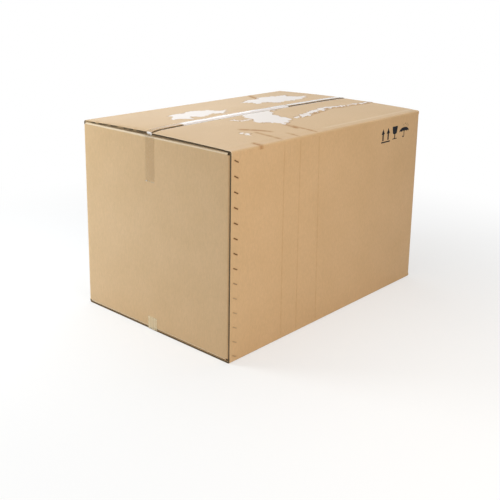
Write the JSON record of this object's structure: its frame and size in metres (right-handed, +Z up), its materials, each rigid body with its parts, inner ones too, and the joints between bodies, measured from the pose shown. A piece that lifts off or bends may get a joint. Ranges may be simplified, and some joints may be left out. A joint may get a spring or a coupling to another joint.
{
  "type": "export shipping box",
  "caption": "Closed export carton of double-wall corrugated board, taped along its top and bottom seams and wire-stitched down one corner.",
  "frame": {"origin": "on the floor, under the middle of the closed box", "axes": "+X along the taped seam, away from the stitched corner's end panel; +Y across the seam, away from the stitched long panel; +Z up"},
  "size_m": [1.187, 0.795, 0.7815],
  "materials": {
    "kraft_board": "brown kraft liner, satin, with creases and scuffs",
    "clear_tape": "clear glossy packing film",
    "steel_wire": "flat drawn wire"
  },
  "bodies": {
    "root": {"carton": "kraft_board", "top_tape": "clear_tape", "bottom_tape": "clear_tape", "stitch_01": "steel_wire", "stitch_02": "steel_wire", "stitch_03": "steel_wire", "stitch_04": "steel_wire", "stitch_05": "steel_wire", "stitch_06": "steel_wire", "stitch_07": "steel_wire", "stitch_08": "steel_wire", "stitch_09": "steel_wire", "stitch_10": "steel_wire", "stitch_11": "steel_wire", "stitch_12": "steel_wire", "stitch_13": "steel_wire", "stitch_14": "steel_wire"}
  },
  "joints": []
}
